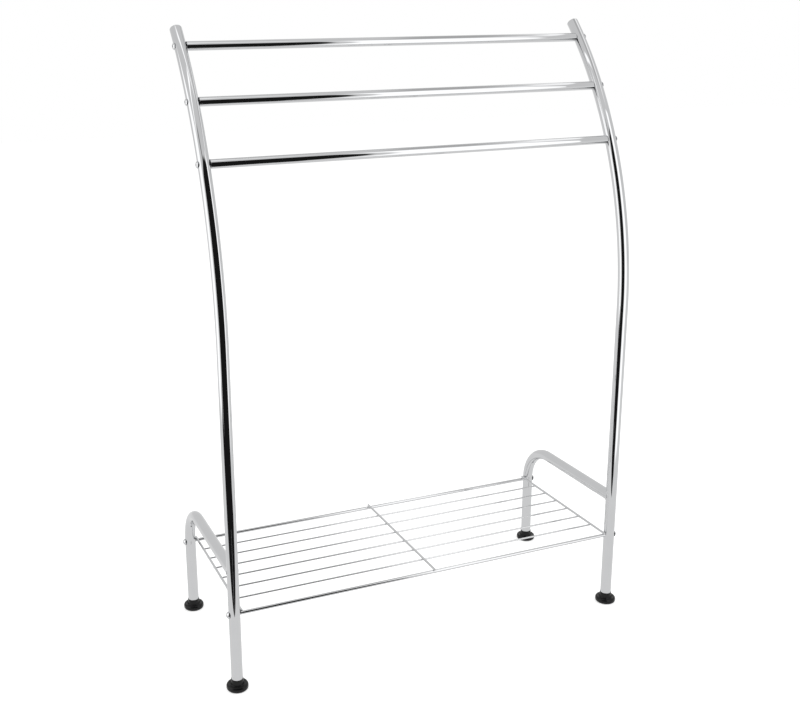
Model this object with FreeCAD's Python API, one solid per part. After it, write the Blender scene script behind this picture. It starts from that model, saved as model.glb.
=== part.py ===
"""Freestanding towel stand of bent chromed tube.

Two mirrored side frames each have a post, upright at the foot and bent backwards in one large arc at
the top, and a J-shaped rear leg that is welded to the back of the post.  Three towel bars and a low
wire shelf are screwed between the frames.  Each tube stands in a moulded foot.

Millimetres.  X runs across the stand, +Y to the back, +Z up.  The origin is on the floor, midway
between the four feet.
"""
import FreeCAD
import Part
import os
from math import cos, radians, sin, sqrt

# Side frame: post and rear leg
POST_SPAN = 600.0             # across the stand, axis to axis
FRAME_DEPTH = 233.0           # post's axis to the rear leg's axis at the floor
TUBE_DIAMETER = 16.0
TUBE_WALL = 1.0
POST_STRAIGHT_HEIGHT = 474.0  # floor to the start of the post's bend
POST_BEND_RADIUS = 583.0
POST_BEND_ANGLE = 43.0        # degrees
LEG_RUN_HEIGHT = 176.0        # axis of the rear leg's level run
LEG_BEND_RADIUS = 60.0
WELD_BEAD_SIZE = 1.0

# Plug that closes a post's upper end
CAP_DOME_HEIGHT = 1.6
CAP_EDGE_HEIGHT = 0.8
CAP_PLUG_LENGTH = 9.0
CAP_PLUG_WALL = 1.5
CAP_PLUG_CLEARANCE = 0.1      # radial, in the post's bore

# Towel bars
BAR_COUNT = 3
BAR_DIAMETER = 12.0
BAR_WALL = 0.8
TOP_BAR_SETBACK = 27.5        # along the post, from its upper end to the top bar's axis
BAR_PITCH = 83.5              # along the post, axis to axis
INSERT_LENGTH = 14.0          # threaded plug in each end of a bar
INSERT_RECESS = 2.0           # plug's outer end, inside the bar's end

# Screws, from outside through the tube into a bar's insert or a shelf rod
BAR_SCREW_DIAMETER = 5.0
BAR_SCREW_HEAD_DIAMETER = 9.2
BAR_SCREW_HEAD_HEIGHT = 2.0
BAR_SCREW_GRIP = 10.0         # length held in the insert
BAR_SCREW_SOCKET = 3.0        # across the flats
SHELF_SCREW_DIAMETER = 3.0
SHELF_SCREW_HEAD_DIAMETER = 10.0
SHELF_SCREW_HEAD_HEIGHT = 3.2
SHELF_SCREW_GRIP = 9.0
SHELF_SCREW_SOCKET = 2.0
SOCKET_DEPTH_SHARE = 0.55     # of the head's height
SCREW_HOLE_CLEARANCE = 0.5    # on the diameter
SCREW_TIP_ROOM = 1.5          # bore beyond a screw's tip

# Wire shelf
SHELF_HEIGHT = 113.5          # axis of the two rods
ROD_DIAMETER = 5.0
CROSS_WIRE_DIAMETER = 3.5
LONG_WIRE_DIAMETER = 2.5
LONG_WIRE_COUNT = 6
LONG_WIRE_PITCH = 32.0
WELD_SINK = 0.5               # how far crossing wires press into each other
CROSS_WIRE_TUBE_GAP = 0.2     # side cross wire to the tube beside it
CROSS_WIRE_OVERHANG = 3.0     # past a rod's axis
LONG_WIRE_OVERHANG = 0.5      # past a side cross wire's axis

# Moulded feet
FOOT_DIAMETER = 30.5
FOOT_DISC_HEIGHT = 8.4
FOOT_EDGE_RADIUS = 3.2
FOOT_GROOVE_RADIUS = 10.7     # of the lowest part of the hollow between disc and collar
FOOT_GROOVE_HEIGHT = 7.7
FOOT_COLLAR_START = 10.0      # height where the hollow meets the collar
FOOT_HEIGHT = 16.0
FOOT_COLLAR_WALL = 1.0        # at the collar's start
FOOT_LIP_WALL = 0.5           # at the foot's upper end
FOOT_FLOOR = 4.0              # under the tube's lower end
FOOT_RECESS_DIAMETER = 15.0
FOOT_RECESS_DEPTH = 1.0

# Worked out from the sizes above
TUBE_RADIUS = TUBE_DIAMETER / 2
POST_X = POST_SPAN / 2
POST_Y = -FRAME_DEPTH / 2
LEG_Y = FRAME_DEPTH / 2
TUBE_INNER_X = POST_X - TUBE_RADIUS
TUBE_OUTER_X = POST_X + TUBE_RADIUS
CROSS_WIRE_Z = SHELF_HEIGHT + (ROD_DIAMETER + CROSS_WIRE_DIAMETER) / 2 - WELD_SINK
LONG_WIRE_Z = CROSS_WIRE_Z - (CROSS_WIRE_DIAMETER + LONG_WIRE_DIAMETER) / 2 + WELD_SINK
SIDE_CROSS_WIRE_X = TUBE_INNER_X - CROSS_WIRE_TUBE_GAP - CROSS_WIRE_DIAMETER / 2

SIDES = {"left": -1, "right": 1}
X_AXIS = FreeCAD.Vector(1, 0, 0)
Z_AXIS = FreeCAD.Vector(0, 0, 1)


def point(x, y, z):
    return FreeCAD.Vector(x, y, z)


def rod_between(start, end, diameter):
    """A round bar from one point to another."""
    run = end - start
    return Part.makeCylinder(diameter / 2, run.Length, start, run)


def revolved(profile):
    """A solid turned about the Z axis from a closed outline."""
    return Part.Face(Part.Wire(profile)).revolve(point(0, 0, 0), Z_AXIS, 360)


def placed(shape, position, direction):
    """A shape made on the Z axis, moved so that its Z axis points along a direction."""
    moved = shape.copy()
    moved.Placement = FreeCAD.Placement(position, FreeCAD.Rotation(Z_AXIS, direction))
    return moved


def swept_bar(path, diameter):
    """A solid round bar along a path that starts straight upwards."""
    start = path.OrderedVertexes[0].Point
    ring = Part.Wire(Part.makeCircle(diameter / 2, start, Z_AXIS))
    return path.makePipeShell([ring], True, True)


def swept_tube(path):
    outside = swept_bar(path, TUBE_DIAMETER)
    return outside.cut(swept_bar(path, TUBE_DIAMETER - 2 * TUBE_WALL))


def cross_hole(diameter, y, z):
    """The tool for a hole across both side frames."""
    reach = POST_X + TUBE_DIAMETER
    return rod_between(point(-reach, y, z), point(reach, y, z), diameter)


# Side frames

def post_bend_point(angle):
    """The point of the post's bend, as (y, z), that lies an angle in degrees after its start."""
    turn = radians(angle)
    y = POST_Y + POST_BEND_RADIUS * (1 - cos(turn))
    z = POST_STRAIGHT_HEIGHT + POST_BEND_RADIUS * sin(turn)
    return y, z


def post_path(x):
    middle_y, middle_z = post_bend_point(POST_BEND_ANGLE / 2)
    end_y, end_z = post_bend_point(POST_BEND_ANGLE)
    bend_start = point(x, POST_Y, POST_STRAIGHT_HEIGHT)
    upright = Part.LineSegment(point(x, POST_Y, FOOT_FLOOR), bend_start)
    bend = Part.Arc(bend_start, point(x, middle_y, middle_z), point(x, end_y, end_z))
    return Part.Wire([upright.toShape(), bend.toShape()])


def leg_path(x):
    bend_y = LEG_Y - LEG_BEND_RADIUS
    bend_z = LEG_RUN_HEIGHT - LEG_BEND_RADIUS
    share = sqrt(0.5)
    bend_middle = point(x, bend_y + LEG_BEND_RADIUS * share, bend_z + LEG_BEND_RADIUS * share)
    bend_start = point(x, LEG_Y, bend_z)
    bend_end = point(x, bend_y, LEG_RUN_HEIGHT)
    upright = Part.LineSegment(point(x, LEG_Y, FOOT_FLOOR), bend_start)
    bend = Part.Arc(bend_start, bend_middle, bend_end)
    level_run = Part.LineSegment(bend_end, point(x, POST_Y, LEG_RUN_HEIGHT))
    return Part.Wire([upright.toShape(), bend.toShape(), level_run.toShape()])


def make_post(side):
    tube = swept_tube(post_path(side * POST_X))
    for y, z in bar_places():
        tube = tube.cut(cross_hole(BAR_SCREW_DIAMETER + SCREW_HOLE_CLEARANCE, y, z))
    return tube.cut(cross_hole(SHELF_SCREW_DIAMETER + SCREW_HOLE_CLEARANCE, POST_Y, SHELF_HEIGHT))


def make_rear_leg(side):
    """The J-shaped tube.  Its front end is coped to fit round the post."""
    tube = swept_tube(leg_path(side * POST_X))
    tube = tube.cut(swept_bar(post_path(side * POST_X), TUBE_DIAMETER))
    return tube.cut(cross_hole(SHELF_SCREW_DIAMETER + SCREW_HOLE_CLEARANCE, LEG_Y, SHELF_HEIGHT))


def make_weld_bead(side):
    """The bead all round the joint of the rear leg with the post."""
    x = side * POST_X
    sleeve = TUBE_DIAMETER + 2 * WELD_BEAD_SIZE
    height = point(0, 0, sleeve)
    centre = point(x, POST_Y, LEG_RUN_HEIGHT)
    round_post = rod_between(centre - height, centre + height, sleeve)
    round_leg = rod_between(centre, centre + point(0, sleeve, 0), sleeve)
    bead = round_post.common(round_leg)
    bead = bead.cut(rod_between(centre - height, centre + height, TUBE_DIAMETER))
    return bead.cut(rod_between(centre, centre + point(0, sleeve, 0), TUBE_DIAMETER))


def make_post_cap(side):
    """A domed plug, on the Z axis first and then in the post's upper end."""
    plug_radius = TUBE_RADIUS - TUBE_WALL - CAP_PLUG_CLEARANCE
    hollow_radius = plug_radius - CAP_PLUG_WALL
    edge = CAP_EDGE_HEIGHT
    crown = edge + CAP_DOME_HEIGHT
    # The dome is part of a sphere that meets the edge on the tube's radius.
    dome_radius = (TUBE_RADIUS ** 2 + CAP_DOME_HEIGHT ** 2) / (2 * CAP_DOME_HEIGHT)
    half_way = TUBE_RADIUS / 2
    half_way_z = crown - dome_radius + sqrt(dome_radius ** 2 - half_way ** 2)
    dome = Part.Arc(point(TUBE_RADIUS, 0, edge), point(half_way, 0, half_way_z), point(0, 0, crown))
    lower = Part.makePolygon([
        point(0, 0, crown),
        point(0, 0, 0),
        point(hollow_radius, 0, 0),
        point(hollow_radius, 0, -CAP_PLUG_LENGTH),
        point(plug_radius, 0, -CAP_PLUG_LENGTH),
        point(plug_radius, 0, 0),
        point(TUBE_RADIUS, 0, 0),
        point(TUBE_RADIUS, 0, edge)])
    cap = revolved(lower.Edges + [dome.toShape()])
    end_y, end_z = post_bend_point(POST_BEND_ANGLE)
    turn = radians(POST_BEND_ANGLE)
    return placed(cap, point(side * POST_X, end_y, end_z), point(0, sin(turn), cos(turn)))


# Towel bars

def bar_places():
    """Each towel bar's axis as (y, z), from the lowest bar to the top one."""
    places = []
    for steps_down in reversed(range(BAR_COUNT)):
        from_end = TOP_BAR_SETBACK + steps_down * BAR_PITCH
        angle = POST_BEND_ANGLE - (from_end / POST_BEND_RADIUS) / radians(1)
        places.append(post_bend_point(angle))
    return places


def make_towel_bar(y, z):
    """A tube from post to post, its ends cut square."""
    ends = point(-TUBE_INNER_X, y, z), point(TUBE_INNER_X, y, z)
    return rod_between(*ends, BAR_DIAMETER).cut(rod_between(*ends, BAR_DIAMETER - 2 * BAR_WALL))


def make_insert(side, y, z):
    """The threaded plug in one end of a bar, a little inside its rim."""
    outer_x = TUBE_INNER_X - INSERT_RECESS
    outer_end = point(side * outer_x, y, z)
    inner_end = point(side * (outer_x - INSERT_LENGTH), y, z)
    plug = rod_between(outer_end, inner_end, BAR_DIAMETER - 2 * BAR_WALL)
    return plug.cut(rod_between(outer_end, inner_end, BAR_SCREW_DIAMETER))


# Screws

def make_screw(diameter, length, head_diameter, head_height, socket):
    """A domed socket screw on the Z axis, head up, its head's underside at the origin."""
    head_radius = head_diameter / 2
    crown_radius = socket
    rim_height = head_height / 5
    middle = point((head_radius + crown_radius) / 2, 0, head_height * 0.8)
    dome = Part.Arc(point(head_radius, 0, rim_height), middle, point(crown_radius, 0, head_height))
    sides = Part.makePolygon([
        point(crown_radius, 0, head_height),
        point(0, 0, head_height),
        point(0, 0, 0),
        point(head_radius, 0, 0),
        point(head_radius, 0, rim_height)])
    head = revolved(sides.Edges + [dome.toShape()])
    hexagon_radius = socket / sqrt(3)
    corners = [point(hexagon_radius * cos(radians(60 * i)), hexagon_radius * sin(radians(60 * i)), 0)
               for i in range(7)]
    hexagon = Part.Face(Part.makePolygon(corners))
    hexagon.translate(point(0, 0, head_height * (1 - SOCKET_DEPTH_SHARE)))
    head = head.cut(hexagon.extrude(point(0, 0, head_height)))
    shank = Part.makeCylinder(diameter / 2, length, point(0, 0, -length))
    return head.fuse(shank).removeSplitter()


def screws_at(places, screw):
    """Copies of a screw from outside through both side frames."""
    screws = []
    for y, z in places:
        for side in SIDES.values():
            screws.append(placed(screw, point(side * TUBE_OUTER_X, y, z), side * X_AXIS))
    return Part.makeCompound(screws)


def make_bar_screws():
    length = TUBE_DIAMETER + INSERT_RECESS + BAR_SCREW_GRIP
    screw = make_screw(BAR_SCREW_DIAMETER, length, BAR_SCREW_HEAD_DIAMETER, BAR_SCREW_HEAD_HEIGHT,
                       BAR_SCREW_SOCKET)
    return screws_at(bar_places(), screw)


def make_shelf_screws():
    length = TUBE_DIAMETER + SHELF_SCREW_GRIP
    screw = make_screw(SHELF_SCREW_DIAMETER, length, SHELF_SCREW_HEAD_DIAMETER,
                       SHELF_SCREW_HEAD_HEIGHT, SHELF_SCREW_SOCKET)
    return screws_at([(POST_Y, SHELF_HEIGHT), (LEG_Y, SHELF_HEIGHT)], screw)


# Wire shelf

def make_shelf_rod(y):
    """A rod between two tubes, with a threaded bore in each end."""
    rod = rod_between(point(-POST_X, y, SHELF_HEIGHT), point(POST_X, y, SHELF_HEIGHT), ROD_DIAMETER)
    bore_length = TUBE_RADIUS + SHELF_SCREW_GRIP + SCREW_TIP_ROOM
    for side in SIDES.values():
        foot = point(side * POST_X, y, 0)
        rod = rod.cut(Part.makeCylinder(TUBE_RADIUS, SHELF_HEIGHT + TUBE_DIAMETER, foot))
        end = point(side * POST_X, y, SHELF_HEIGHT)
        bore_end = end - point(side * bore_length, 0, 0)
        rod = rod.cut(rod_between(end, bore_end, SHELF_SCREW_DIAMETER))
    return rod


def long_wire_rows():
    middle = (LONG_WIRE_COUNT - 1) / 2
    return [(i - middle) * LONG_WIRE_PITCH for i in range(LONG_WIRE_COUNT)]


def make_long_wire(y):
    reach = SIDE_CROSS_WIRE_X + LONG_WIRE_OVERHANG
    return rod_between(point(-reach, y, LONG_WIRE_Z), point(reach, y, LONG_WIRE_Z), LONG_WIRE_DIAMETER)


def make_cross_wire(x, welded_under):
    """A wire from the front rod to the rear one, seated on what it is welded to."""
    reach = FRAME_DEPTH / 2 + CROSS_WIRE_OVERHANG
    wire = rod_between(point(x, -reach, CROSS_WIRE_Z), point(x, reach, CROSS_WIRE_Z), CROSS_WIRE_DIAMETER)
    for under in welded_under:
        wire = wire.cut(under)
    return wire


# Feet

def make_foot(x, y):
    """A ferrule: a thick round-edged disc, a hollow ring and a tapering collar for the tube."""
    disc_radius = FOOT_DIAMETER / 2
    flat_radius = disc_radius - FOOT_EDGE_RADIUS
    edge_share = FOOT_EDGE_RADIUS * (1 - sqrt(0.5))
    recess_radius = FOOT_RECESS_DIAMETER / 2
    collar_radius = TUBE_RADIUS + FOOT_COLLAR_WALL
    lip_radius = TUBE_RADIUS + FOOT_LIP_WALL
    lower_edge = Part.Arc(
        point(flat_radius, 0, 0),
        point(disc_radius - edge_share, 0, edge_share),
        point(disc_radius, 0, FOOT_EDGE_RADIUS))
    rim = Part.LineSegment(
        point(disc_radius, 0, FOOT_EDGE_RADIUS),
        point(disc_radius, 0, FOOT_DISC_HEIGHT - FOOT_EDGE_RADIUS))
    upper_edge = Part.Arc(
        point(disc_radius, 0, FOOT_DISC_HEIGHT - FOOT_EDGE_RADIUS),
        point(disc_radius - edge_share, 0, FOOT_DISC_HEIGHT - edge_share),
        point(flat_radius, 0, FOOT_DISC_HEIGHT))
    hollow = Part.Arc(
        point(flat_radius, 0, FOOT_DISC_HEIGHT),
        point(FOOT_GROOVE_RADIUS, 0, FOOT_GROOVE_HEIGHT),
        point(collar_radius, 0, FOOT_COLLAR_START))
    inside = Part.makePolygon([
        point(collar_radius, 0, FOOT_COLLAR_START),
        point(lip_radius, 0, FOOT_HEIGHT),
        point(TUBE_RADIUS, 0, FOOT_HEIGHT),
        point(TUBE_RADIUS, 0, FOOT_FLOOR),
        point(0, 0, FOOT_FLOOR),
        point(0, 0, FOOT_RECESS_DEPTH),
        point(recess_radius, 0, FOOT_RECESS_DEPTH),
        point(recess_radius, 0, 0),
        point(flat_radius, 0, 0)])
    outside = [curve.toShape() for curve in (lower_edge, rim, upper_edge, hollow)]
    foot = revolved(outside + inside.Edges)
    foot.translate(point(x, y, 0))
    return foot


def make_parts():
    """Every piece by its name."""
    parts = {}
    for name, side in SIDES.items():
        parts[name + "_post"] = make_post(side)
        parts[name + "_rear_leg"] = make_rear_leg(side)
        parts[name + "_weld_bead"] = make_weld_bead(side)
        parts[name + "_post_cap"] = make_post_cap(side)
        parts[name + "_front_foot"] = make_foot(side * POST_X, POST_Y)
        parts[name + "_rear_foot"] = make_foot(side * POST_X, LEG_Y)

    inserts = []
    for number, (y, z) in enumerate(bar_places(), 1):
        parts["towel_bar_%d" % number] = make_towel_bar(y, z)
        inserts += [make_insert(side, y, z) for side in SIDES.values()]
    parts["towel_bar_inserts"] = Part.makeCompound(inserts)
    parts["towel_bar_screws"] = make_bar_screws()

    front_rod = make_shelf_rod(POST_Y)
    rear_rod = make_shelf_rod(LEG_Y)
    long_wires = [make_long_wire(y) for y in long_wire_rows()]
    welded_under = [front_rod, rear_rod] + long_wires
    parts["shelf_front_rod"] = front_rod
    parts["shelf_rear_rod"] = rear_rod
    for number, wire in enumerate(long_wires, 1):
        parts["shelf_long_wire_%d" % number] = wire
    for name, x in (("left", -SIDE_CROSS_WIRE_X), ("middle", 0), ("right", SIDE_CROSS_WIRE_X)):
        parts["shelf_cross_wire_" + name] = make_cross_wire(x, welded_under)
    parts["shelf_screws"] = make_shelf_screws()
    return parts


os.makedirs("parts", exist_ok=True)
for node, shape in make_parts().items():
    shape.exportStep("parts/%s.step" % node)
    print(node, "solids", len(shape.Solids), "valid", shape.isValid(), "volume %.1f" % shape.Volume)
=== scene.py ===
"""Looks of the freestanding towel stand: mirror chrome tubes, bright wires, glossy black feet.

Metres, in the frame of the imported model: X along the bars, +Y to the back, Z up from the floor.
"""
from math import asin, atan2, cos, pi, radians, sin, sqrt

import bpy
from mathutils import Matrix, Vector


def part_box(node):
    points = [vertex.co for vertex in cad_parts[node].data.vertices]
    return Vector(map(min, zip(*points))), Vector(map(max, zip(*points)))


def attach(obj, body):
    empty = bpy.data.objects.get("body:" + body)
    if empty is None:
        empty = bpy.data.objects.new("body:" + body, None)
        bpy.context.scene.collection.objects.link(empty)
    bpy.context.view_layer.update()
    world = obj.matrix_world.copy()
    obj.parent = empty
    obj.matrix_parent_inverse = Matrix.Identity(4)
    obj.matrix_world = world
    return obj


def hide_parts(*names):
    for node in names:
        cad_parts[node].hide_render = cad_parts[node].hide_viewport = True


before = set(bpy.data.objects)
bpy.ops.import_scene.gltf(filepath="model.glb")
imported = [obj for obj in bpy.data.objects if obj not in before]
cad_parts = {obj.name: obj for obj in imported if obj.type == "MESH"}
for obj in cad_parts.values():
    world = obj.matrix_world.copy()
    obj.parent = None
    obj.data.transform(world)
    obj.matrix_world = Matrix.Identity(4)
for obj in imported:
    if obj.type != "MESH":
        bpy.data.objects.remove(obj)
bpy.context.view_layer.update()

MM = 0.001
BODY = "root"
SIDES = {"left": -1, "right": 1}

# Sizes that the frame's boxes don't give directly
TUBE_RADIUS = 8.0 * MM
TUBE_WALL = 1.0 * MM
BEND_START_Z = 474.0 * MM
BEND_RADIUS = 583.0 * MM
BEND_ANGLE = radians(43.0)
LEG_BEND_RADIUS = 60.0 * MM
FOOT_FLOOR = 4.0 * MM
BAR_WALL = 0.8 * MM
BEAD_RADIUS = 0.9 * MM
BEAD_RIPPLE = 0.12            # share of the bead's radius
BEAD_RIPPLES = 14
CAP_EDGE = 0.8 * MM
CAP_DOME = 1.6 * MM
CAP_STEM = 9.0 * MM
CAP_WALL = 1.5 * MM
CAP_CLEARANCE = 0.1 * MM
CAP_STRAIGHT = 0.85           # share of the cap's edge below the rounding
CAP_ROUNDING = 0.985          # share of the dome's half angle at its outermost ring
BAR_EASE = 0.2 * MM
FOOT_EDGE = 3.2 * MM
FOOT_RIM = 8.4 * MM
FOOT_LIP = 0.25 * MM
FOOT_LIP_WALL = 0.5 * MM
FOOT_RECESS_RADIUS = 7.5 * MM
FOOT_RECESS_DEPTH = 1.0 * MM
SHANK_TRIM = 0.1 * MM         # taken off a shank's right end
WIRE_ROUNDING = 0.35          # share of a wire's radius
WIRE_SPOT = 0.75 * MM         # half height of a weld spot on a long wire
ROD_SPOT = 0.9 * MM           # and on a rod
VISUAL_CLEARANCE = 0.02 * MM

# The foot, as (radius, height): its hollow ring's middle and inner end, and points up its collar
FOOT_HOLLOW = [(10.7 * MM, 7.72 * MM), (9.2 * MM, 9.3 * MM)]
FOOT_COLLAR = [(9.06 * MM, 9.75 * MM), (8.99 * MM, 10.3 * MM), (8.9 * MM, 11.3 * MM)]

# Screws: radius and height of the head, width of the socket, radius and length of the shank
BAR_SCREW = (4.6 * MM, 2.0 * MM, 3.0 * MM, 2.5 * MM, 28 * MM)
SHELF_SCREW = (5.0 * MM, 3.2 * MM, 2.0 * MM, 1.5 * MM, 25 * MM)

ROUND_STEPS = 56
WIRE_STEPS = 24
BEAD_STEPS = 10
FOOT_STEPS = 72
SCREW_STEPS = 48
SPOT_STEPS = 16
POST_BEND_STEPS = 72
LEG_BEND_STEPS = 40


def node_centre(node):
    """The middle of a CAD node's box."""
    low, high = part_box(node)
    return (Vector(low) + Vector(high)) / 2


def node_size(node):
    """A CAD node's box from corner to corner."""
    low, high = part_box(node)
    return Vector(high) - Vector(low)


BAR_NODES = ["towel_bar_%d" % number for number in (1, 2, 3)]
ROD_NODES = ["shelf_front_rod", "shelf_rear_rod"]
LONG_WIRE_NODES = ["shelf_long_wire_%d" % number for number in range(1, 7)]
CROSS_WIRE_NODES = ["shelf_cross_wire_" + place for place in ("left", "middle", "right")]

POST_X = node_centre("right_front_foot").x
POST_Y = node_centre("right_front_foot").y
LEG_Y = node_centre("right_rear_foot").y
RUN_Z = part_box("right_rear_leg")[1][2] - TUBE_RADIUS
BEND_CENTRE_Y = POST_Y + BEND_RADIUS
SHELF_Z = node_centre("shelf_front_rod").z


# Materials

NOISE_LOW, NOISE_HIGH = 0.35, 0.65      # the noise's middle range
CHROME_TINTS = [(0.64, 0.645, 0.655), (0.69, 0.695, 0.703)]
PLASTIC_TINTS = [(0.0015, 0.0015, 0.0017), (0.004, 0.004, 0.0044)]
STEEL_TINTS = [(0.50, 0.51, 0.53), (0.60, 0.61, 0.62)]


def new_material(name):
    """A material with its nodes and links."""
    material = bpy.data.materials.new(name)
    material.use_nodes = True
    return material, material.node_tree.nodes, material.node_tree.links


def noise_node(nodes, links, scale, detail):
    """Noise over the object's own coordinates, which are the frame's metres."""
    place = nodes.new("ShaderNodeTexCoord")
    noise = nodes.new("ShaderNodeTexNoise")
    noise.inputs["Scale"].default_value = scale
    noise.inputs["Detail"].default_value = detail
    links.new(place.outputs["Object"], noise.inputs["Vector"])
    return noise


def spread(nodes, links, value, low, high):
    """The noise's middle range mapped on two limits."""
    mapped = nodes.new("ShaderNodeMapRange")
    mapped.inputs["From Min"].default_value = NOISE_LOW
    mapped.inputs["From Max"].default_value = NOISE_HIGH
    mapped.inputs["To Min"].default_value = low
    mapped.inputs["To Max"].default_value = high
    links.new(value, mapped.inputs["Value"])
    return mapped.outputs["Result"]


def tint(nodes, links, value, first, second):
    """A colour between two others, by a value from 0 to 1."""
    mix = nodes.new("ShaderNodeMix")
    mix.data_type = "RGBA"
    mix.inputs["A"].default_value = (*first, 1)
    mix.inputs["B"].default_value = (*second, 1)
    links.new(value, mix.inputs["Factor"])
    return mix.outputs["Result"]


def bump(nodes, links, value, distance, strength):
    """A normal that a height value disturbs."""
    node = nodes.new("ShaderNodeBump")
    node.inputs["Distance"].default_value = distance
    node.inputs["Strength"].default_value = strength
    links.new(value, node.inputs["Height"])
    return node.outputs["Normal"]


def chrome(name, smooth, rough, wave):
    """Nearly a mirror, with faint haze, a little tint and the tube's slight waviness."""
    material, nodes, links = new_material(name)
    shader = nodes["Principled BSDF"]
    shader.inputs["Metallic"].default_value = 1.0
    haze = noise_node(nodes, links, scale=34.0, detail=4.0)
    links.new(tint(nodes, links, haze.outputs["Fac"], *CHROME_TINTS), shader.inputs["Base Color"])
    film = noise_node(nodes, links, scale=90.0, detail=6.0)
    links.new(spread(nodes, links, film.outputs["Fac"], smooth, rough), shader.inputs["Roughness"])
    waviness = noise_node(nodes, links, scale=26.0, detail=1.0)
    links.new(bump(nodes, links, waviness.outputs["Fac"], 1.0 * MM, wave), shader.inputs["Normal"])
    return material


def black_plastic():
    """Glossy moulded plastic with a faint surface grain and uneven gloss."""
    material, nodes, links = new_material("black_plastic")
    shader = nodes["Principled BSDF"]
    shader.inputs["Specular IOR Level"].default_value = 0.28
    mottle = noise_node(nodes, links, scale=220.0, detail=5.0)
    links.new(tint(nodes, links, mottle.outputs["Fac"], *PLASTIC_TINTS),
              shader.inputs["Base Color"])
    links.new(spread(nodes, links, mottle.outputs["Fac"], 0.03, 0.08), shader.inputs["Roughness"])
    grain = noise_node(nodes, links, scale=1400.0, detail=2.0)
    links.new(bump(nodes, links, grain.outputs["Fac"], 0.05 * MM, 0.10), shader.inputs["Normal"])
    return material


def plain_steel():
    """Dull plated steel for the hidden plugs in the bars."""
    material, nodes, links = new_material("plain_steel")
    shader = nodes["Principled BSDF"]
    shader.inputs["Metallic"].default_value = 1.0
    grain = noise_node(nodes, links, scale=500.0, detail=4.0)
    links.new(tint(nodes, links, grain.outputs["Fac"], *STEEL_TINTS), shader.inputs["Base Color"])
    links.new(spread(nodes, links, grain.outputs["Fac"], 0.28, 0.42), shader.inputs["Roughness"])
    return material


MATERIALS = {
    "chrome_tube": chrome("chrome_tube", smooth=0.01, rough=0.03, wave=0.02),
    "chrome_wire": chrome("chrome_wire", smooth=0.02, rough=0.04, wave=0.02),
    "chrome_screw": chrome("chrome_screw", smooth=0.04, rough=0.10, wave=0.04),
    "chrome_cap": chrome("chrome_cap", smooth=0.03, rough=0.07, wave=0.03),
    "black_plastic": black_plastic(),
    "plain_steel": plain_steel(),
}


# Meshes

def add_piece(name, vertices, faces, slot, replaced, sharp=35.0):
    """A smooth-shaded piece that stands for its CAD nodes and rides on the stand."""
    mesh = bpy.data.meshes.new(name)
    mesh.from_pydata([tuple(v) for v in vertices], [], faces)
    mesh.validate()
    mesh.update()
    for polygon in mesh.polygons:
        polygon.use_smooth = True
    mesh.set_sharp_from_angle(angle=radians(sharp))
    mesh.materials.append(MATERIALS[slot])
    piece = bpy.data.objects.new(name, mesh)
    bpy.context.scene.collection.objects.link(piece)
    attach(piece, BODY)
    if replaced:
        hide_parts(*replaced)
    return piece


class Skin:
    """Vertices and faces gathered ring by ring."""

    def __init__(self):
        self.vertices = []
        self.faces = []

    def ring(self, points):
        """Adds points and gives their numbers."""
        start = len(self.vertices)
        self.vertices += points
        return list(range(start, start + len(points)))

    def join(self, first, second):
        """Faces between two rings of equal count."""
        count = len(first)
        for i in range(count):
            j = (i + 1) % count
            self.faces.append((first[i], first[j], second[j], second[i]))

    def close(self, ring, centre, flip=False):
        """A fan of faces from a ring to its centre."""
        tip = self.ring([centre])[0]
        count = len(ring)
        for i in range(count):
            j = (i + 1) % count
            self.faces.append((ring[j], ring[i], tip) if flip else (ring[i], ring[j], tip))

    def loft(self, rings, closed=False):
        """Joins each ring of points to the next one, and the last to the first if closed."""
        rows = [self.ring(points) for points in rings]
        for first, second in zip(rows, rows[1:]):
            self.join(first, second)
        if closed:
            self.join(rows[-1], rows[0])
        return rows


def turn_steps(count):
    """Evenly spaced angles once round."""
    return [2 * pi * i / count for i in range(count)]


def circle(place, radius, height, steps):
    """A ring of points about the local Z axis, put in place."""
    return [place @ Vector((radius * cos(turn), radius * sin(turn), height))
            for turn in turn_steps(steps)]


# Side frames

def post_stations():
    """Points and directions along a post, as (y, z, angle of the tube from upright)."""
    stations = [(POST_Y, FOOT_FLOOR, 0.0), (POST_Y, BEND_START_Z, 0.0)]
    for i in range(1, POST_BEND_STEPS + 1):
        angle = BEND_ANGLE * i / POST_BEND_STEPS
        y = BEND_CENTRE_Y - BEND_RADIUS * cos(angle)
        z = BEND_START_Z + BEND_RADIUS * sin(angle)
        stations.append((y, z, angle))
    return stations


def leg_stations():
    """Points and directions along a rear leg, from the foot round the bend to the post."""
    stations = [(LEG_Y, FOOT_FLOOR, 0.0)]
    for i in range(LEG_BEND_STEPS + 1):
        angle = pi / 2 * i / LEG_BEND_STEPS
        y = LEG_Y - LEG_BEND_RADIUS * (1 - cos(angle))
        z = RUN_Z - LEG_BEND_RADIUS * (1 - sin(angle))
        stations.append((y, z, -angle))
    return stations


def tube_ring(x, station, radius):
    """A circle round the tube, square to its direction in the side frame's plane."""
    y, z, angle = station
    across_y, across_z = cos(angle), -sin(angle)
    points = []
    for turn in turn_steps(ROUND_STEPS):
        out = radius * sin(turn)
        points.append(Vector((x + radius * cos(turn), y + out * across_y, z + out * across_z)))
    return points


def coped_ring(x, radius):
    """The end of the leg's level run, cut round to fit the post."""
    points = []
    for turn in turn_steps(ROUND_STEPS):
        sideways = radius * cos(turn)
        reach = sqrt(max(TUBE_RADIUS ** 2 - sideways ** 2, 0.0))
        points.append(Vector((x + sideways, POST_Y + reach, RUN_Z + radius * sin(turn))))
    return points


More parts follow.
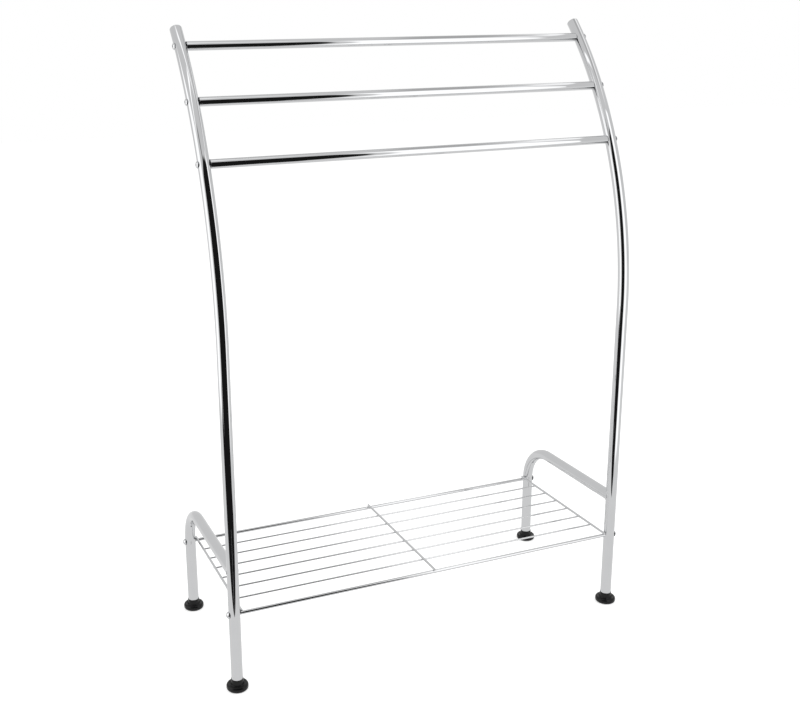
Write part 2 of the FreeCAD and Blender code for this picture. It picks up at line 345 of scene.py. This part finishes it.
def make_post(name, side):
    """A hollow post, from its foot up and back along the arc."""
    x = side * POST_X
    inner = TUBE_RADIUS - TUBE_WALL
    outside = [tube_ring(x, station, TUBE_RADIUS) for station in post_stations()]
    inside = [tube_ring(x, station, inner) for station in reversed(post_stations())]
    skin = Skin()
    skin.loft(outside + inside, closed=True)
    add_piece(name + "_post_tube", skin.vertices, skin.faces, "chrome_tube", [name + "_post"])


def make_leg(name, side):
    """A hollow rear leg, whose level run ends against the post."""
    x = side * POST_X
    inner = TUBE_RADIUS - TUBE_WALL
    outside = [tube_ring(x, station, TUBE_RADIUS) for station in leg_stations()]
    inside = [tube_ring(x, station, inner) for station in reversed(leg_stations())]
    skin = Skin()
    skin.loft(outside + [coped_ring(x, TUBE_RADIUS), coped_ring(x, inner)] + inside, closed=True)
    add_piece(name + "_rear_leg_tube", skin.vertices, skin.faces, "chrome_tube",
              [name + "_rear_leg"])


def make_bead(name, side):
    """A thin plated-over weld round the leg's coped end."""
    x = side * POST_X
    path = coped_ring(x, TUBE_RADIUS)
    skin = Skin()
    rings = []
    for i, point in enumerate(path):
        along = (path[(i + 1) % len(path)] - path[i - 1]).normalized()
        outward = Vector((point.x - x, 0, point.z - RUN_Z)).normalized()
        side_way = along.cross(outward).normalized()
        ripple = 1 + BEAD_RIPPLE * sin(BEAD_RIPPLES * atan2(outward.z, outward.x))
        ring = []
        for turn in turn_steps(BEAD_STEPS):
            offset = cos(turn) * outward + sin(turn) * side_way
            ring.append(point + BEAD_RADIUS * ripple * offset)
        rings.append(ring)
    skin.loft(rings, closed=True)
    add_piece(name + "_weld", skin.vertices, skin.faces, "chrome_tube",
              [name + "_weld_bead"], sharp=60)


# Pieces turned about an axis

def lathe(skin, profile, place, steps=ROUND_STEPS):
    """A profile of (radius, height) points turned about an axis and closed at both ends."""
    rows = skin.loft([circle(place, radius, height, steps) for radius, height in profile])
    skin.close(rows[0], place @ Vector((0, 0, profile[0][1])), flip=True)
    skin.close(rows[-1], place @ Vector((0, 0, profile[-1][1])))


def arc_profile(centre, radius, start, end, steps):
    """Profile points along an arc, by its centre (radius, height) and two angles in degrees."""
    points = []
    for i in range(steps + 1):
        angle = radians(start + (end - start) * i / steps)
        points.append((centre[0] + radius * cos(angle), centre[1] + radius * sin(angle)))
    return points


def arc_through(first, middle, last, steps):
    """Profile points along the arc through three (radius, height) points."""
    (ax, ay), (bx, by), (cx, cy) = first, middle, last
    scale = 2 * (ax * (by - cy) + bx * (cy - ay) + cx * (ay - by))
    a, b, c = ax * ax + ay * ay, bx * bx + by * by, cx * cx + cy * cy
    centre_x = (a * (by - cy) + b * (cy - ay) + c * (ay - by)) / scale
    centre_y = (a * (cx - bx) + b * (ax - cx) + c * (bx - ax)) / scale
    start = atan2(ay - centre_y, ax - centre_x)
    sweep = atan2(cy - centre_y, cx - centre_x) - start
    radius = sqrt((ax - centre_x) ** 2 + (ay - centre_y) ** 2)
    if sweep > 0:
        sweep -= 2 * pi
    points = []
    for i in range(steps + 1):
        angle = start + sweep * i / steps
        points.append((centre_x + radius * cos(angle), centre_y + radius * sin(angle)))
    return points


def make_cap(name, side):
    """The plug's domed head, with a softly rounded edge, and its hollow stem."""
    angle = BEND_ANGLE
    end = Vector((side * POST_X, BEND_CENTRE_Y - BEND_RADIUS * cos(angle),
                  BEND_START_Z + BEND_RADIUS * sin(angle)))
    place = Matrix.Translation(end) @ Matrix.Rotation(-angle, 4, "X")
    plug = TUBE_RADIUS - TUBE_WALL - CAP_CLEARANCE
    hollow = plug - CAP_WALL
    dome_radius = (TUBE_RADIUS ** 2 + CAP_DOME ** 2) / (2 * CAP_DOME)
    limit = asin(TUBE_RADIUS / dome_radius)
    profile = [(hollow, 0.0), (hollow, -CAP_STEM), (plug, -CAP_STEM), (plug, 0.0),
               (TUBE_RADIUS, 0.0), (TUBE_RADIUS, CAP_EDGE * CAP_STRAIGHT)]
    dome_steps = 12
    for i in range(dome_steps):
        share = limit * (1 - i / dome_steps) * (CAP_ROUNDING if i == 0 else 1.0)
        profile.append((dome_radius * sin(share),
                        CAP_EDGE + CAP_DOME - dome_radius * (1 - cos(share))))
    skin = Skin()
    lathe(skin, profile, place)
    add_piece(name + "_cap", skin.vertices, skin.faces, "chrome_cap", [name + "_post_cap"])


def make_foot(node):
    """A thick round-edged disc, a hollow ring, and a tapering collar that the tube stands in."""
    centre = node_centre(node)
    size = node_size(node)
    disc, height = size.x / 2 - VISUAL_CLEARANCE, size.z
    flat = disc - FOOT_EDGE
    lip_radius = TUBE_RADIUS + FOOT_LIP_WALL
    socket = TUBE_RADIUS + VISUAL_CLEARANCE
    profile = [(FOOT_RECESS_RADIUS, FOOT_RECESS_DEPTH), (FOOT_RECESS_RADIUS, 0.0)]
    profile += arc_profile((flat, FOOT_EDGE), FOOT_EDGE, -90, 0, steps=12)
    profile += arc_profile((flat, FOOT_RIM - FOOT_EDGE), FOOT_EDGE, 0, 80, steps=12)
    # Over the rim's crest, through the hollow ring and up the collar
    profile += [(flat + 0.5 * MM, FOOT_RIM - 0.04 * MM), (flat - 0.15 * MM, FOOT_RIM - 0.12 * MM)]
    profile += arc_through((flat - 0.35 * MM, 8.15 * MM), *FOOT_HOLLOW, steps=12)
    profile += FOOT_COLLAR
    profile += arc_profile((lip_radius - FOOT_LIP, height - FOOT_LIP), FOOT_LIP, 5, 90, steps=4)
    profile += [(socket, height), (socket, FOOT_FLOOR)]
    skin = Skin()
    lathe(skin, profile, Matrix.Translation((centre.x, centre.y, 0)), FOOT_STEPS)
    add_piece(node + "_moulding", skin.vertices, skin.faces, "black_plastic", [node],
              sharp=60)


def hexagon_ring(place, across, height, steps):
    """A ring of points on a hexagon, as many as on the round rings that it joins."""
    points = []
    for turn in turn_steps(steps):
        from_flat = (turn % (pi / 3)) - pi / 6
        radius = across / 2 / cos(from_flat)
        points.append(place @ Vector((radius * cos(turn), radius * sin(turn), height)))
    return points


def add_screw(skin, side, y, z, head_radius, head_height, socket, turned):
    """A domed head with a rolled rim and a hexagon socket, on the outside of a tube."""
    x = side * (POST_X + TUBE_RADIUS)
    place = (Matrix.Translation((x, y, z)) @ Matrix.Rotation(side * pi / 2, 4, "Y")
             @ Matrix.Rotation(turned, 4, "Z"))
    rim = head_height * 0.22
    crown = socket * 0.8
    profile = [(head_radius * 0.96, 0.0), (head_radius, rim * 0.3), (head_radius, rim * 0.8)]
    dome_steps = 9
    for i in range(dome_steps + 1):
        share = i / dome_steps
        bow = sin(share * pi / 2)
        drop = 1 - cos((1 - share) * pi / 2)
        radius = crown + (head_radius * 0.985 - crown) * (1 - share)
        profile.append((radius, rim + (head_height - rim) * (0.5 * bow + 0.5 * (1 - drop))))
    rings = [circle(place, radius, height, SCREW_STEPS) for radius, height in profile]
    # The socket's bevelled mouth, its wall and its conical floor
    rings.append(hexagon_ring(place, socket * 1.06, head_height, SCREW_STEPS))
    rings.append(hexagon_ring(place, socket, head_height * 0.94, SCREW_STEPS))
    rings.append(hexagon_ring(place, socket, head_height * 0.45, SCREW_STEPS))
    rows = skin.loft(rings)
    skin.close(rows[0], place @ Vector((0, 0, 0)), flip=True)
    skin.close(rows[-1], place @ Vector((0, 0, head_height * 0.35)))


def add_shank(skin, side, y, z, radius, length):
    """A screw's shank, bevelled at its left end."""
    start = side * (POST_X + TUBE_RADIUS)
    end = start - side * length
    turn = Matrix.Rotation(pi / 2, 4, "Y")
    low, high = min(start, end), max(start, end)
    narrow, bevel = radius * 0.7, radius * 0.3
    profile = [(narrow, low), (radius, low + bevel), (radius, high - SHANK_TRIM)]
    lathe(skin, profile, Matrix.Translation((0, y, z)) @ turn, WIRE_STEPS)


# Towel bars

def make_bar(node):
    """A tube cut square at both ends, with the cut edges eased."""
    centre = node_centre(node)
    size = node_size(node)
    radius = size.z / 2
    inner = radius - BAR_WALL
    reach = size.x / 2
    edge = BAR_EASE
    ease = [(inner, 0.0), (radius - edge, 0.0), (radius - 0.3 * edge, 0.3 * edge), (radius, edge)]
    spans = 12
    profile = [(ring_radius, -reach + inset) for ring_radius, inset in ease]
    profile += [(radius, -reach + 2 * reach * i / spans) for i in range(1, spans)]
    profile += [(ring_radius, reach - inset) for ring_radius, inset in reversed(ease)]
    place = Matrix.Translation((0, centre.y, centre.z)) @ Matrix.Rotation(pi / 2, 4, "Y")
    skin = Skin()
    skin.loft([circle(place, ring_radius, x, ROUND_STEPS) for ring_radius, x in profile],
              closed=True)
    add_piece(node + "_tube", skin.vertices, skin.faces, "chrome_tube", [node], sharp=50)


# Wire shelf

def straight_wire(skin, start, end, radius, rounding):
    """A wire with sheared ends, their edges rounded by the plating."""
    run = end - start
    place = Matrix.Translation(start) @ run.to_track_quat("Z", "Y").to_matrix().to_4x4()
    length = run.length
    spans = 8
    profile = arc_profile((radius - rounding, rounding), rounding, -90, 0, steps=4)
    profile += [(radius, length * i / spans) for i in range(1, spans)]
    profile += arc_profile((radius - rounding, length - rounding), rounding, 0, 90, steps=4)
    lathe(skin, profile, place, WIRE_STEPS)


def rod_ring(side, y, radius):
    """The end of a shelf rod, shaped to the round tube that it meets."""
    points = []
    for turn in turn_steps(WIRE_STEPS):
        out = radius * cos(turn)
        x = POST_X - sqrt(TUBE_RADIUS ** 2 - out ** 2)
        points.append(Vector((side * x, y + out, SHELF_Z + radius * sin(turn))))
    return points


def make_rod(node):
    """A shelf rod between the two side frames."""
    centre = node_centre(node)
    radius = node_size(node).z / 2
    rings = [rod_ring(-1, centre.y, radius)]
    spans = 10
    reach = POST_X - 2 * TUBE_RADIUS
    for i in range(spans + 1):
        x = -reach + 2 * reach * i / spans
        rings.append([Vector((x, centre.y + radius * cos(t), centre.z + radius * sin(t)))
                      for t in turn_steps(WIRE_STEPS)])
    rings.append(rod_ring(1, centre.y, radius))
    skin = Skin()
    rows = skin.loft(rings)
    inner_x = POST_X - TUBE_RADIUS
    skin.close(rows[0], Vector((-inner_x, centre.y, centre.z)), flip=True)
    skin.close(rows[-1], Vector((inner_x, centre.y, centre.z)))
    add_piece(node + "_bar", skin.vertices, skin.faces, "chrome_wire", [node])


def make_wire(node, along_x):
    """A shelf wire along its node's box. A cross wire's thickness is its box's width."""
    low, high = [Vector(corner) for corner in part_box(node)]
    centre = (low + high) / 2
    if along_x:
        start, end = Vector((low.x, centre.y, centre.z)), Vector((high.x, centre.y, centre.z))
        radius = (high.z - low.z) / 2
    else:
        radius = (high.x - low.x) / 2
        z = high.z - radius
        start, end = Vector((centre.x, low.y, z)), Vector((centre.x, high.y, z))
    skin = Skin()
    straight_wire(skin, start, end, radius, radius * WIRE_ROUNDING)
    add_piece(node + "_wire", skin.vertices, skin.faces, "chrome_wire", [node])


def weld_spot(skin, centre, across, along, height):
    """A small plated-over nugget where two wires cross."""
    profile = []
    steps = 8
    for i in range(1, steps):
        angle = pi * i / steps - pi / 2
        profile.append((cos(angle), sin(angle)))
    place = Matrix.Translation(centre) @ Matrix.Diagonal((across, along, height, 1))
    lathe(skin, profile, place, SPOT_STEPS)


def make_weld_spots():
    """A nugget wherever a cross wire meets a long wire or a rod."""
    skin = Skin()
    for cross in CROSS_WIRE_NODES:
        cross_x = node_centre(cross).x
        cross_radius = node_size(cross).x / 2
        cross_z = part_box(cross)[1][2] - cross_radius
        for node in LONG_WIRE_NODES:
            wire = node_centre(node)
            wire_radius = node_size(node).z / 2
            spot_z = (cross_z - cross_radius + wire.z + wire_radius) / 2
            weld_spot(skin, Vector((cross_x, wire.y, spot_z)), cross_radius * 1.12,
                      wire_radius * 1.2, WIRE_SPOT)
        for rod in ROD_NODES:
            rod_centre = node_centre(rod)
            rod_radius = node_size(rod).z / 2
            spot_z = rod_centre.z + rod_radius
            weld_spot(skin, Vector((cross_x, rod_centre.y, spot_z)), cross_radius * 1.15,
                      rod_radius * 0.75, ROD_SPOT)
    add_piece("shelf_weld_spots", skin.vertices, skin.faces, "chrome_wire", None, sharp=60)


def make_screws(node, places, screw):
    """One screw from each side at every place, given as (y, z)."""
    head_radius, head_height, socket, shank_radius, length = screw
    skin = Skin()
    for index, (y, z) in enumerate(places):
        for side in SIDES.values():
            turned = 0.4 + 1.3 * index + side     # radians, so the sockets don't line up
            add_screw(skin, side, y, z, head_radius, head_height, socket, turned)
            add_shank(skin, side, y, z, shank_radius, length)
    add_piece(node + "_heads", skin.vertices, skin.faces, "chrome_screw", [node],
              sharp=40)


for name, side in SIDES.items():
    make_post(name, side)
    make_leg(name, side)
    make_bead(name, side)
    make_cap(name, side)
    make_foot(name + "_front_foot")
    make_foot(name + "_rear_foot")

for node in BAR_NODES:
    make_bar(node)
bar_places = [(node_centre(node).y, node_centre(node).z) for node in BAR_NODES]
make_screws("towel_bar_screws", bar_places, BAR_SCREW)
make_screws("shelf_screws", [(POST_Y, SHELF_Z), (LEG_Y, SHELF_Z)], SHELF_SCREW)

for node in ROD_NODES:
    make_rod(node)
for node in LONG_WIRE_NODES:
    make_wire(node, along_x=True)
for node in CROSS_WIRE_NODES:
    make_wire(node, along_x=False)
make_weld_spots()

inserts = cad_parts["towel_bar_inserts"]
inserts.data.materials.clear()
inserts.data.materials.append(MATERIALS["plain_steel"])


# Stage: pale paper, a soft sky, and cards and softboxes that only reflections show

def edge_fade(nodes, links, value, softness):
    """1 inside a card, falling to 0 over a share of its width at both edges."""
    inward = nodes.new("ShaderNodeMath")
    inward.operation = "PINGPONG"
    inward.inputs[1].default_value = 0.5
    links.new(value, inward.inputs[0])
    fade = nodes.new("ShaderNodeMapRange")
    fade.interpolation_type = "SMOOTHSTEP"
    fade.inputs["From Max"].default_value = softness
    links.new(inward.outputs["Value"], fade.inputs["Value"])
    return fade.outputs["Result"]


def card_material(name, strength, soft_across, soft_up):
    """A glow that fades out softly towards the card's edges."""
    material, nodes, links = new_material(name)
    nodes.remove(nodes["Principled BSDF"])
    place = nodes.new("ShaderNodeTexCoord")
    split = nodes.new("ShaderNodeSeparateXYZ")
    links.new(place.outputs["UV"], split.inputs["Vector"])
    amount = nodes.new("ShaderNodeMath")
    amount.operation = "MULTIPLY"
    links.new(edge_fade(nodes, links, split.outputs["X"], soft_across), amount.inputs[0])
    links.new(edge_fade(nodes, links, split.outputs["Y"], soft_up), amount.inputs[1])
    glow = nodes.new("ShaderNodeEmission")
    glow.inputs["Strength"].default_value = strength
    clear = nodes.new("ShaderNodeBsdfTransparent")
    mix = nodes.new("ShaderNodeMixShader")
    links.new(amount.outputs["Value"], mix.inputs["Fac"])
    links.new(clear.outputs["BSDF"], mix.inputs[1])
    links.new(glow.outputs["Emission"], mix.inputs[2])
    links.new(mix.outputs["Shader"], nodes["Material Output"].inputs["Surface"])
    return material


def add_flat(name, corners, material):
    """A flat panel from its four corners in order."""
    mesh = bpy.data.meshes.new(name)
    mesh.from_pydata(corners, [], [(0, 1, 2, 3)])
    mesh.materials.append(material)
    panel = bpy.data.objects.new(name, mesh)
    bpy.context.scene.collection.objects.link(panel)
    return panel


def card(name, corners, strength, soft_across=0.05, soft_up=0.05):
    """A card or softbox that only reflections show, from its four corners in order."""
    panel = add_flat(name, corners, card_material(name, strength, soft_across, soft_up))
    across = panel.data.uv_layers.new(name="across")
    for loop, place in zip(across.data, ((0, 0), (1, 0), (1, 1), (0, 1))):
        loop.uv = place
    panel.visible_camera = False
    panel.visible_diffuse = False
    panel.visible_transmission = False
    panel.visible_volume_scatter = False
    panel.visible_shadow = False


def upright_card(name, first, second, low, high, strength, soft_across=0.05, soft_up=0.05):
    """A vertical card between two places on the floor, given as (x, y)."""
    corners = [(*first, low), (*second, low), (*second, high), (*first, high)]
    card(name, corners, strength, soft_across, soft_up)


def floor_card(name, places, strength, softness=0.01):
    """A level card just above the paper, from its four corners as (x, y)."""
    corners = [(*place, FLOOR_CARD_LEVEL) for place in places]
    card(name, corners, strength, softness, softness)


def ceiling_card(name, layer, start, end, width, strength, soft_along=0.2, soft_across=0.3):
    """A level strip above the stand, on a layer of its own, from its two ends as (x, y)."""
    run = (Vector(end) - Vector(start)).normalized()
    side_way = Vector((-run.y, run.x)) * width / 2
    level = CEILING - CEILING_STEP * layer
    corners = []
    for place in (Vector(start) - side_way, Vector(end) - side_way,
                  Vector(end) + side_way, Vector(start) + side_way):
        corners.append((place.x, place.y, level))
    card(name, corners, strength, soft_along, soft_across)


def make_floor():
    """Pale paper that keeps the shadow, lit up for the camera and even in reflections."""
    material, nodes, links = new_material("floor")
    surface = nodes["Principled BSDF"]
    surface.inputs["Base Color"].default_value = (0.80, 0.80, 0.80, 1)
    surface.inputs["Roughness"].default_value = 0.9
    surface.inputs["Specular IOR Level"].default_value = 0.0
    path = nodes.new("ShaderNodeLightPath")
    glow = nodes.new("ShaderNodeEmission")
    glow.inputs["Strength"].default_value = FLOOR_GLOW
    lit = nodes.new("ShaderNodeAddShader")
    links.new(surface.outputs["BSDF"], lit.inputs[0])
    links.new(glow.outputs["Emission"], lit.inputs[1])
    seen = nodes.new("ShaderNodeMixShader")
    links.new(path.outputs["Is Camera Ray"], seen.inputs["Fac"])
    links.new(surface.outputs["BSDF"], seen.inputs[1])
    links.new(lit.outputs["Shader"], seen.inputs[2])
    mirrored = nodes.new("ShaderNodeEmission")
    mirrored.inputs["Strength"].default_value = FLOOR_IN_CHROME
    whole = nodes.new("ShaderNodeMixShader")
    links.new(path.outputs["Is Glossy Ray"], whole.inputs["Fac"])
    links.new(seen.outputs["Shader"], whole.inputs[1])
    links.new(mirrored.outputs["Emission"], whole.inputs[2])
    links.new(whole.outputs["Shader"], nodes["Material Output"].inputs["Surface"])
    far = FLOOR_REACH
    floor = add_flat("floor", [(-far, -far, 0), (far, -far, 0), (far, far, 0), (-far, far, 0)],
                     material)


def make_world():
    """White to the camera, a light grey studio to the chrome, soft light to the rest."""
    world = bpy.data.worlds.new("studio")
    bpy.context.scene.world = world
    world.use_nodes = True
    nodes, links = world.node_tree.nodes, world.node_tree.links
    back = nodes["Background"]
    path = nodes.new("ShaderNodeLightPath")
    soft = nodes.new("ShaderNodeMix")
    soft.inputs["A"].default_value = SKY_LIGHT
    soft.inputs["B"].default_value = SKY_IN_CHROME
    links.new(path.outputs["Is Glossy Ray"], soft.inputs["Factor"])
    seen = nodes.new("ShaderNodeMix")
    seen.inputs["B"].default_value = 1.0
    links.new(path.outputs["Is Camera Ray"], seen.inputs["Factor"])
    links.new(soft.outputs["Result"], seen.inputs["A"])
    back.inputs["Color"].default_value = (1, 1, 1, 1)
    links.new(seen.outputs["Result"], back.inputs["Strength"])


def area_lamp(name, place, target, size, power):
    """A soft lamp that reflections don't show."""
    lamp = bpy.data.lights.new(name, "AREA")
    lamp.shape = "RECTANGLE"
    lamp.size, lamp.size_y = size
    lamp.energy = power
    holder = bpy.data.objects.new(name, lamp)
    bpy.context.scene.collection.objects.link(holder)
    holder.location = place
    holder.rotation_euler = (Vector(target) - Vector(place)).to_track_quat("-Z", "Y").to_euler()
    holder.visible_glossy = False


FLOOR_GLOW = 0.45
FLOOR_IN_CHROME = 0.86
FLOOR_REACH = 8.0
FLOOR_CARD_LEVEL = 0.002
SKY_LIGHT = 0.75
SKY_IN_CHROME = 0.78
DARK = 0.012
CEILING = 1.33
CEILING_STEP = 0.004          # between layers, so that no two strips lie in one plane
FRONT = -0.62
LEFT = -1.3

make_floor()
make_world()
area_lamp("key", (-1.2, -1.6, 2.6), target=(0, 0, 0.3), size=(2.0, 1.4), power=30)
area_lamp("fill", (1.6, -0.8, 1.8), target=(0, 0, 0.4), size=(1.6, 1.6), power=10)

# The dark studio in front of the stand, beyond the white paper's front edge
upright_card("dark_front", (-1.15, FRONT), (0.18, FRONT), low=-0.05, high=1.24,
             strength=DARK, soft_across=0.02, soft_up=0.04)
floor_card("dark_floor_left", [(-1.6, FRONT), (-0.35, FRONT), (-0.35, -0.305), (-1.6, -0.22)],
           DARK)
floor_card("dark_floor_right", [(-0.352, FRONT), (0.17, FRONT), (0.12, -0.48), (-0.352, -0.305)],
           DARK)

# Softboxes and windows
upright_card("bright_front", (0.20, FRONT), (0.66, FRONT), low=0.02, high=1.36,
             strength=1.55, soft_across=0.08, soft_up=0.03)
upright_card("bright_left", (LEFT, -0.52), (LEFT, 0.70), low=0.0, high=1.45,
             strength=1.5, soft_across=0.22, soft_up=0.05)
ceiling_card("ceiling_band_left", 4, (-1.05, -0.42), (-0.15, -0.19),
             width=0.10, strength=1.6)
ceiling_card("ceiling_band_right", 0, (-0.50, 0.02), (0.14, -0.31),
             width=0.09, strength=1.5)
ceiling_card("ceiling_dark", 1, (-0.62, -0.44), (-0.62, -0.85),
             width=0.28, strength=0.25)
ceiling_card("ceiling_columns", 2, (0.35, -0.5), (0.35, 0.5),
             width=0.3, strength=0.55)
ceiling_card("ceiling_bright_right", 3, (0.62, -0.6), (0.62, 0.6),
             width=0.24, strength=1.3)


# Camera

CAMERA_PLACE = Vector((-0.6464, -1.3624, 0.8679))
CAMERA_TURN = -21.01       # degrees round the stand, from straight in front
CAMERA_DROP = 15.53        # degrees below the horizon
CAMERA_ROLL = -1.05        # degrees
IMAGE_WIDTH, IMAGE_HEIGHT = 800, 710
FOCAL_PIXELS = 1073.0
AXIS_PIXEL = (320.9, 328.1)      # where the lens axis meets the picture
SENSOR = 36.0


def make_camera():
    """The photograph's view, with its lens axis shifted off the middle of the picture."""
    turn, drop, roll = radians(CAMERA_TURN), radians(CAMERA_DROP), radians(CAMERA_ROLL)
    back = Vector((sin(turn) * cos(drop), -cos(turn) * cos(drop), sin(drop)))
    level = (-back).cross(Vector((0, 0, 1))).normalized()
    upward = level.cross(-back)
    right = cos(roll) * level + sin(roll) * upward
    up = cos(roll) * upward - sin(roll) * level
    camera = bpy.data.cameras.new("camera")
    camera.sensor_width = SENSOR
    camera.lens = FOCAL_PIXELS * SENSOR / IMAGE_WIDTH
    camera.shift_x = (IMAGE_WIDTH / 2 - AXIS_PIXEL[0]) / IMAGE_WIDTH
    camera.shift_y = (AXIS_PIXEL[1] - IMAGE_HEIGHT / 2) / IMAGE_WIDTH
    holder = bpy.data.objects.new("camera", camera)
    bpy.context.scene.collection.objects.link(holder)
    turned = Matrix((right, up, back)).transposed().to_4x4()
    holder.matrix_world = Matrix.Translation(CAMERA_PLACE) @ turned
    bpy.context.scene.camera = holder


make_camera()
bpy.context.scene.view_settings.view_transform = "Standard"
